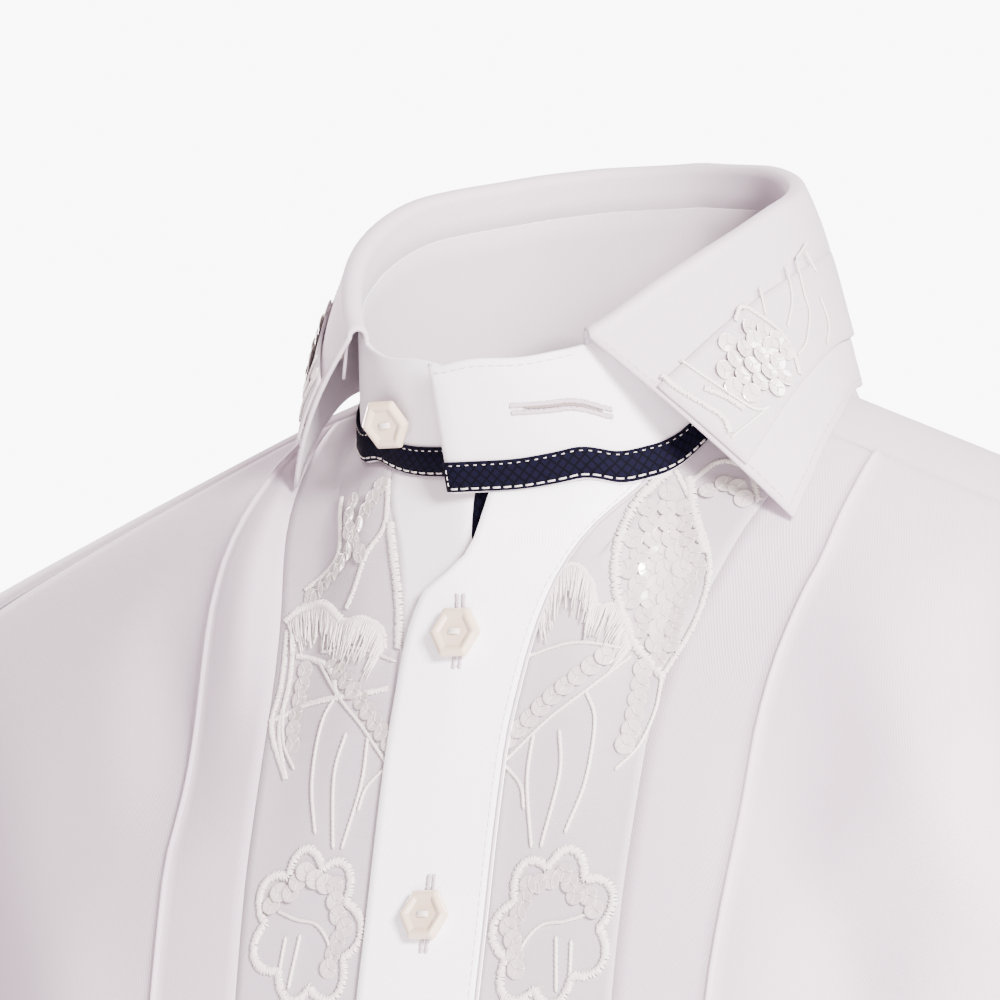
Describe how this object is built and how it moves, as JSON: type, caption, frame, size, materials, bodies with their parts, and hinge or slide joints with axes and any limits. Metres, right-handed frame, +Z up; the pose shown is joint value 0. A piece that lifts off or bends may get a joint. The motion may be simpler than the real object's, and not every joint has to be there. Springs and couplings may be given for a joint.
{
  "type": "embroidered dress shirt",
  "caption": "White twill dress shirt with embroidered net inserts, navy-trimmed collar stand and six-sided cream buttons, filled out with no wearer.",
  "frame": {"origin": "centre of the neck base, between the shoulders and inside the collar, where the shirt is held", "axes": "+X to the wearer's left, +Y to the back of the shirt, +Z up through the collar; the front is -Y"},
  "size_m": [0.7416, 0.2432, 0.8077],
  "materials": {
    "white_twill": "fine matt cotton twill, 1.2 mm as made here",
    "sheer_net": "sheer grey-lilac net that carries the embroidery",
    "navy": "matt woven ribbon and tape",
    "ivory_thread": "raised satin stitch with a soft sheen",
    "cream_button": "pearly cream, bevelled six-sided button"
  },
  "bodies": {
    "root": {"front_left": "white_twill", "front_right": "white_twill", "insert_left": "sheer_net", "insert_right": "sheer_net", "placket_left": "white_twill", "placket_right": "white_twill", "placket_tape": "navy", "yoke": "white_twill", "back": "white_twill", "sleeve_left": "white_twill", "sleeve_right": "white_twill", "cuff_left": "white_twill", "cuff_right": "white_twill", "cuff_button_left": "cream_button", "cuff_button_right": "cream_button", "collar_stand": "white_twill", "stand_ribbon": "navy", "collar_fall": "white_twill", "collar_patch_left": "sheer_net", "collar_patch_right": "sheer_net", "collar_tab_left": "white_twill", "collar_tab_right": "white_twill", "tab_button_left": "cream_button", "tab_button_right": "cream_button", "button_neck": "cream_button", "button_front_1": "cream_button", "button_front_2": "cream_button", "button_front_3": "cream_button", "button_front_4": "cream_button", "button_front_5": "cream_button", "button_front_6": "cream_button", "button_front_7": "cream_button", "flower_left_1": "ivory_thread", "flower_left_2": "ivory_thread", "flower_left_3": "ivory_thread", "flower_right_1": "ivory_thread", "flower_right_2": "ivory_thread", "flower_right_3": "ivory_thread"}
  },
  "joints": []
}
